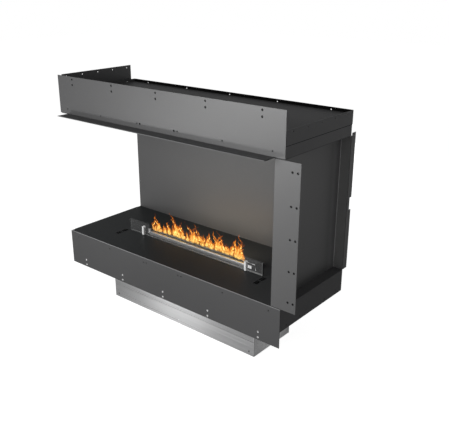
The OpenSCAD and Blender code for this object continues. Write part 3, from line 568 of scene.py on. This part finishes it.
def circuit_lacquer():
    """Green lacquer with copper tracks showing through as lighter lines."""
    material = surface("circuit_board_lacquer", (0.03, 0.20, 0.08), 0.35)
    tracks = add(material, "TexBrick", Scale=1.0, Mortar_Size=0.6 * MM, Brick_Width=11 * MM, Row_Height=4.5 * MM)
    link(material, place(material, (1, 1, 0)), tracks.inputs["Vector"])
    shade(material, tracks.outputs["Fac"], (0.015, 0.11, 0.04), (0.06, 0.30, 0.12))
    relief(material, tracks.outputs["Fac"], 0.05 * MM)
    return material


def pane_glass():
    """Clear tempered glass: it mirrors a little, its ground edges scatter with a painted highlight that grows towards
    the right, and it is hazed at both ends.
    """
    material = surface("screen_glass", GLASS_TINT, 0.05, metallic=1.0)
    low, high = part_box("glass_pane")
    along = coordinates(material)["X"]
    face = inside(material, X=(low.x + GROUND, high.x - GROUND), Z=(low.z + GROUND, high.z + PAST))
    edge = inverse(material, face)
    bevel = inside(material, X=(high.x - BEVEL, high.x - GROUND))
    end = inside(material, X=(high.x - GROUND, high.x + PAST))
    strong, near, far = LEFT_HAZE
    left_haze = between(material, along, strong, 0.0, low.x + near, low.x + far)
    strong, far, near = RIGHT_HAZE
    right_haze = between(material, along, 0.0, strong, high.x - far, high.x - near)
    haze = both(material, "ADD", left_haze, right_haze)

    cloudy = both(material, "MAXIMUM", edge, both(material, "GREATER_THAN", haze, CLOUDY_FROM))
    link(material, inverse(material, cloudy), socket(material, "Metallic"))
    dull(material, cloudy, 0.05, 0.5, 0, 1)
    shade(material, cloudy, GLASS_TINT, GLASS_HAZE)
    paint(material, both(material, "MAXIMUM", edge, bevel), GLASS_EDGE)
    paint(material, end, GLASS_END)

    share = times(material, add(material, "Fresnel", IOR=1.45).outputs[0], 0.15)
    # painted highlight on the edges, stronger towards the right
    edge_share = between(material, along, 0.01, 0.31, low.x + EDGE_PAINTED_HIGHLIGHT_FROM, high.x)
    for other in (haze, times(material, bevel, 0.08), times(material, end, 0.9), times(material, edge, edge_share)):
        share = both(material, "MAXIMUM", share, other)
    see_through(material, share, material.node_tree.nodes["Principled BSDF"].outputs[0])
    return material


# ---------------------------------------------------------------- finish of each CAD piece

# By material slot; the pieces named in the second table have a finish of their own
FINISHES = {
    "coat": powder_coat("powder_coat_body", BODY_COAT, 0.55, 0.35),
    "hearth_coat": hearth_coat(),
    "screw_black": powder_coat("screw_blacking", (0.03, 0.03, 0.03), 0.4, 0.4),
    "tank_steel": brushed_steel("tank_brushed_steel", TANK_STEEL, 0.34, ALONG_X),
    "burner_steel": satin_steel("burner_satin_steel", BURNER_STEEL, 0.32, ALONG_X, 0.85),
    "polished_steel": satin_steel("turned_polished_steel", BRIGHT_STEEL_AND_PAINTED_LIGHT, 0.3, ROUND, 0.25, 0.008),
    "heat_black": scorched_steel(),
    "wick_ceramic": fibre_ceramic("wick_ceramic_fibre", (0.75, 0.72, 0.66), 300),
    "insulation": fibre_ceramic("insulation_mineral_fibre", (0.70, 0.66, 0.58), 150),
    "float_plastic": moulded_plastic("float_orange_plastic", (0.75, 0.42, 0.10), 0.45),
    "black_plastic": moulded_plastic("housing_black_plastic", (0.02, 0.02, 0.022), 0.5),
    "board_green": circuit_lacquer(),
    "lead_rubber": moulded_plastic("lead_rubber_sleeve", (0.012, 0.012, 0.012), 0.7),
    "screen_glass": pane_glass(),
}
NODE_FINISHES = {
    "hood_front_panel": hood_front_coat(),
    "hood_rim": rim_coat(),
    "hood_cover": powder_coat("powder_coat_hood_cover", BODY_COAT, 0.55, 0.12),
    "hood_tray": hood_tray_coat(),
    "ceiling_plate": lip_coat(),
    "side_panel": side_wall_coat(),
    "back_panel": back_panel_coat(),
    "front_apron": front_apron_coat(),
    "tank_shell": tank_finish(),
    "control_box": control_box_finish(),
    "start_button": button_with_painted_glow(),
    "glass_holders": holder_finish(),
}
for part in frame["record"]["subparts"]:
    for slot in frame["nodes"][part["node"]].material_slots:
        slot.material = NODE_FINISHES.get(part["node"]) or FINISHES[part["material_slot"]]


# ---------------------------------------------------------------- flames

trough_low, trough_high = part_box("burner_trough")
slot_y = (trough_low.y + trough_high.y) / 2
rim_z = trough_high.z

FLAME_DEPTH = 12 * MM
FLAME_STRETCH = 1.12
ROOT_SCATTER = 5 * MM
BELLY = 0.25
INNER_SIZE = 0.62
MOST_CORNERS = 10 ** 6  # more than a flame piece has

# Distance from the trough's left end, lift of the root, height, width, lean and curl of each tongue,
# in millimetres: first the tall ones, then the low ones that join them
TALL_TONGUES = [
    (10, 2, 54, 20, 2, 11), (44, 3, 76, 30, -18, 12), (82, 4, 42, 28, -8, 8), (112, 5, 66, 28, -10, 10),
    (156, 5, 102, 44, -26, 12), (172, 7, 84, 28, -2, 12), (190, 6, 72, 26, -6, 10),
    (258, 6, 86, 34, -48, 9), (272, 6, 84, 34, -12, 12), (292, 7, 74, 28, -10, 11), (320, 6, 56, 26, -6, 10),
    (355, 5, 76, 32, -10, 12), (392, 5, 80, 28, -12, 11), (411, 5, 84, 28, -16, 11), (433, 5, 78, 32, -16, 11),
    (458, 5, 46, 26, -8, 8), (484, 4, 66, 30, -8, 10), (500, 4, 84, 34, 2, 12), (514, 3, 100, 34, 8, 12),
    (528, 2, 70, 26, 2, 9), (540, -3, 50, 16, -22, 5),
]
LOW_TONGUES = [
    (26, 1, 34, 30, -8, 4), (54, 3, 40, 36, -8, 4), (84, 4, 36, 40, -8, 4), (112, 5, 44, 42, -8, 4),
    (142, 5, 52, 44, -10, 4), (172, 4, 56, 46, -10, 4), (200, 5, 46, 42, -10, 4), (228, 5, 44, 42, -8, 4),
    (256, 5, 54, 46, -12, 4), (284, 5, 56, 46, -10, 4), (312, 5, 48, 42, -8, 4), (340, 5, 48, 42, -8, 4),
    (368, 5, 52, 44, -8, 4), (396, 5, 54, 44, -8, 4), (424, 5, 54, 44, -10, 4), (452, 5, 44, 42, -8, 4),
    (478, 4, 50, 42, -8, 4), (502, 3, 62, 42, -4, 4), (518, 1, 56, 34, -8, 4),
]

# Colours from the hot root to the cool tip
OUTER_COLOURS = [
    (0.0, (1.0, 0.40, 0.055)), (0.35, (0.95, 0.23, 0.02)), (0.7, (0.5, 0.09, 0.012)), (1.0, (0.16, 0.025, 0.008)),
]
INNER_COLOURS = [
    (0.0, (1.0, 0.80, 0.24)), (0.35, (1.0, 0.49, 0.10)), (0.7, (0.9, 0.25, 0.03)), (1.0, (0.50, 0.09, 0.012)),
]


def flame_material(name, colours, strength, thickness):
    """Burning gas on the piece's own attributes: hot low in its core, cooler and torn into strands outwards."""
    material = bpy.data.materials.new(name)
    material.use_nodes = True
    material.node_tree.nodes.remove(material.node_tree.nodes["Principled BSDF"])
    height = add(material, "Attribute", attribute_name="height").outputs["Fac"]
    core = add(material, "Attribute", attribute_name="core").outputs["Fac"]
    strands = grain(material, 85, 4, (1, 1, 0.42), 0.6, 1.3)

    ramp = add(material, "ValToRGB")
    stops = ramp.color_ramp.elements
    stops[0].position, stops[0].color = colours[0][0], (*colours[0][1], 1)
    stops[1].position, stops[1].color = colours[-1][0], (*colours[-1][1], 1)
    for position, colour in colours[1:-1]:
        stops.new(position).color = (*colour, 1)
    cooling = both(material, "ADD", times(material, height, 0.75), between(material, core, 0.42, 0.0, 0.0, 0.9))
    cooling = both(material, "ADD", cooling, between(material, strands, 0.60, -0.45, 0.36, 0.64))
    link(material, cooling, ramp.inputs["Fac"])
    glow = add(material, "Emission", Strength=strength)
    link(material, ramp.outputs["Color"], glow.inputs["Color"])

    torn = both(material, "SUBTRACT", strands, times(material, height, 0.12))
    density = between(material, torn, 0.0, thickness, 0.355, 0.55)
    soft = between(material, core, 0.0, 1.0, 0.1, 0.8)
    root = between(material, height, 0.0, 1.0, 0.02, 0.3)
    see_through(material, times(material, times(material, density, soft), root), glow.outputs[0])
    return material


def girth(t):
    """Girth of a tongue along its height: a narrow root, a belly and a long point."""
    swell = 0.45 + 0.55 * math.sin(math.pi / 2 * min(1, t / BELLY))
    taper = max(0, 1 - max(0, t - BELLY) / (1 - BELLY)) ** 1.1
    return max(0.03, swell * taper)


def tongue(mesh, layers, root, width, depth, height, lean, curl, seed, steps=22, sides=12):
    """One tongue of flame: a ring drawn up along a curling line to a point."""
    heights, cores = layers
    ring = bmesh.ops.create_circle(mesh, segments=sides, radius=1.0)["verts"]
    for vert in ring:
        vert[heights], vert[cores] = 0.0, abs(vert.co.y)
    oval = Matrix.Diagonal((width / 2, depth / 2, 1, 1))
    bmesh.ops.transform(mesh, matrix=Matrix.Translation(root) @ oval, verts=ring)
    edges = list(dict.fromkeys(e for v in ring for e in v.link_edges))
    centre, size = Vector(root), 1.0
    for step in range(1, steps + 1):
        t = step / steps
        turn = 2 * math.pi * (1.25 * t + 0.37 * seed)
        sway = curl * t * (math.sin(turn) + 0.5 * math.sin(2.3 * turn))
        away = 0.3 * curl * noise.noise(Vector((0.7, seed, 3 * t)))
        new_centre = Vector(root) + Vector((lean * t ** 1.5 + sway, away, height * t))
        made = bmesh.ops.extrude_edge_only(mesh, edges=edges)["geom"]
        edges = [g for g in made if isinstance(g, bmesh.types.BMEdge)]
        for vert in (g for g in made if isinstance(g, bmesh.types.BMVert)):
            vert.co = new_centre + (vert.co - centre) * (girth(t) / size)
            vert.co.z = new_centre.z
            vert[heights] = t
        centre, size = new_centre, girth(t)
    bmesh.ops.holes_fill(mesh, edges=edges)


def face_rank(face):
    """Each face's own number. Extruding leaves the faces in any order, and sorting makes every run the same."""
    corners = [vert.index for vert in face.verts]
    return min(corners) * MOST_CORNERS + max(corners)


def as_object(name, mesh, material):
    """A new object in the scene, made of the mesh."""
    data = bpy.data.meshes.new(name)
    mesh.to_mesh(data)
    mesh.free()
    data.materials.append(material)
    piece = bpy.data.objects.new(name, data)
    bpy.context.scene.collection.objects.link(piece)
    return piece


def flames(name, material, tongues, shrink):
    """All tongues as one piece, which throws no shadow and lights nothing."""
    mesh = bmesh.new()
    layers = mesh.verts.layers.float.new("height"), mesh.verts.layers.float.new("core")
    rise = 0.4 + 0.6 * shrink  # a narrower flame keeps more of its height
    for number, (x, lift, height, width, lean, curl) in enumerate(tongues):
        root = (x, slot_y + ROOT_SCATTER * noise.noise(Vector((number, 0.5, 0.5))), rim_z + lift)
        tongue(mesh, layers, root, width * shrink, FLAME_DEPTH * shrink, FLAME_STRETCH * height * rise,
               lean * shrink, curl, number * 1.7 + 0.3)
    mesh.verts.index_update()
    mesh.faces.sort(key=face_rank)
    bmesh.ops.recalc_face_normals(mesh, faces=mesh.faces)
    for face in mesh.faces:
        face.smooth = True
    piece = as_object(name, mesh, material)
    piece.visible_shadow = False
    piece.visible_diffuse = False
    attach(piece, "casing")


placed = [(trough_low.x + x * MM, *(v * MM for v in rest)) for x, *rest in TALL_TONGUES + LOW_TONGUES]
flames("flames_outer", flame_material("flame_outer_orange", OUTER_COLOURS, 0.85, 0.75), placed, 1.0)
flames("flames_inner", flame_material("flame_inner_yellow", INNER_COLOURS, 2.3, 0.95), placed, INNER_SIZE)


# ---------------------------------------------------------------- studio

# The world's strength for every kind of ray, what some kinds get besides, and the floor's own glow
FILL = 0.27
WORLD_EXTRA = {"Is Camera Ray": 1 - FILL, "Is Glossy Ray": 0.16, "Is Transmission Ray": 1 - FILL}
FLOOR_GLOW = {"Is Camera Ray": 0.92, "Is Glossy Ray": 0.12, "Is Transmission Ray": 0.7}
FLOOR_SIZE = 12

# Name, place, aim, width, height and watts
SOFTBOXES = [
    ("key_softbox", (-0.5, -2.4, 1.36), (0.35, -0.2, 0.8), 1.4, 1.38, 62),
    ("low_softbox", (-1.75, -2.35, 0.15), (-0.1, -0.1, 0.05), 0.45, 0.3, 10.5),
    ("side_softbox", (2.3, 1.3, 0.25), (0.4, 0.0, 0.1), 0.8, 0.3, 1.8),
    ("back_softbox", (-0.2, 3.3, 0.48), (-0.1, 0.25, 0.48), 2.2, 0.9, 26),
]


def by_ray(owner, strengths):
    """A strength that is a sum over kinds of ray."""
    path = add(owner, "LightPath")
    total = None
    for ray, strength in strengths.items():
        part = times(owner, path.outputs[ray], strength)
        total = both(owner, "ADD", total, part) if total else part
    return total


def softbox(name, place_at, aim, width, height, watts, colour=(1, 1, 1)):
    """A rectangular area light that faces its aim."""
    light = bpy.data.lights.new(name, "AREA")
    light.energy, light.color = watts, colour
    light.shape, light.size, light.size_y = "RECTANGLE", width, height
    box = bpy.data.objects.new(name, light)
    bpy.context.scene.collection.objects.link(box)
    box.location = place_at
    box.rotation_euler = (Vector(aim) - Vector(place_at)).to_track_quat("-Z", "Y").to_euler()
    return box


world = bpy.data.worlds.new("studio")
bpy.context.scene.world = world
world.use_nodes = True
background = world.node_tree.nodes["Background"]
background.inputs["Color"].default_value = WHITE
link(world, both(world, "ADD", by_ray(world, WORLD_EXTRA), FILL), background.inputs["Strength"])

floor_mesh = bmesh.new()
bmesh.ops.create_grid(floor_mesh, x_segments=1, y_segments=1, size=FLOOR_SIZE)
floor_paper = surface("floor_paper", FLOOR_PAPER, 0.9, specular=0.0)
socket(floor_paper, "Emission Color").default_value = WHITE
link(floor_paper, by_ray(floor_paper, FLOOR_GLOW), socket(floor_paper, "Emission Strength"))
floor = as_object("floor", floor_mesh, floor_paper)

for values in SOFTBOXES:
    softbox(*values)
# The fire's own light on the back wall, from a strip just behind the flames
glow_at = Vector(((trough_low.x + trough_high.x) / 2, slot_y + 30 * MM, rim_z + 45 * MM))
fire_glow = softbox("fire_glow", glow_at, glow_at + Vector((0, 1, 0.35)), 0.5, 0.05, 0.65, FIRE_LIGHT)
fire_glow.visible_glossy = False


# ---------------------------------------------------------------- camera

CAMERA_AT = Vector((1.71945, -1.8941, 1.4491))
TURN, TILT = math.radians(39.88), math.radians(20.30)
FOCAL_PIXELS, IMAGE_WIDTH = 640.46, 449
lens = bpy.data.cameras.new("camera")
lens.sensor_width = 36
lens.sensor_fit = "HORIZONTAL"
lens.lens = FOCAL_PIXELS / IMAGE_WIDTH * lens.sensor_width
camera = bpy.data.objects.new("camera", lens)
bpy.context.scene.collection.objects.link(camera)
camera.location = CAMERA_AT
forward = Vector((-math.sin(TURN) * math.cos(TILT), math.cos(TURN) * math.cos(TILT), -math.sin(TILT)))
camera.rotation_euler = forward.to_track_quat("-Z", "Y").to_euler()
bpy.context.scene.camera = camera
bpy.context.scene.view_settings.view_transform = "Standard"
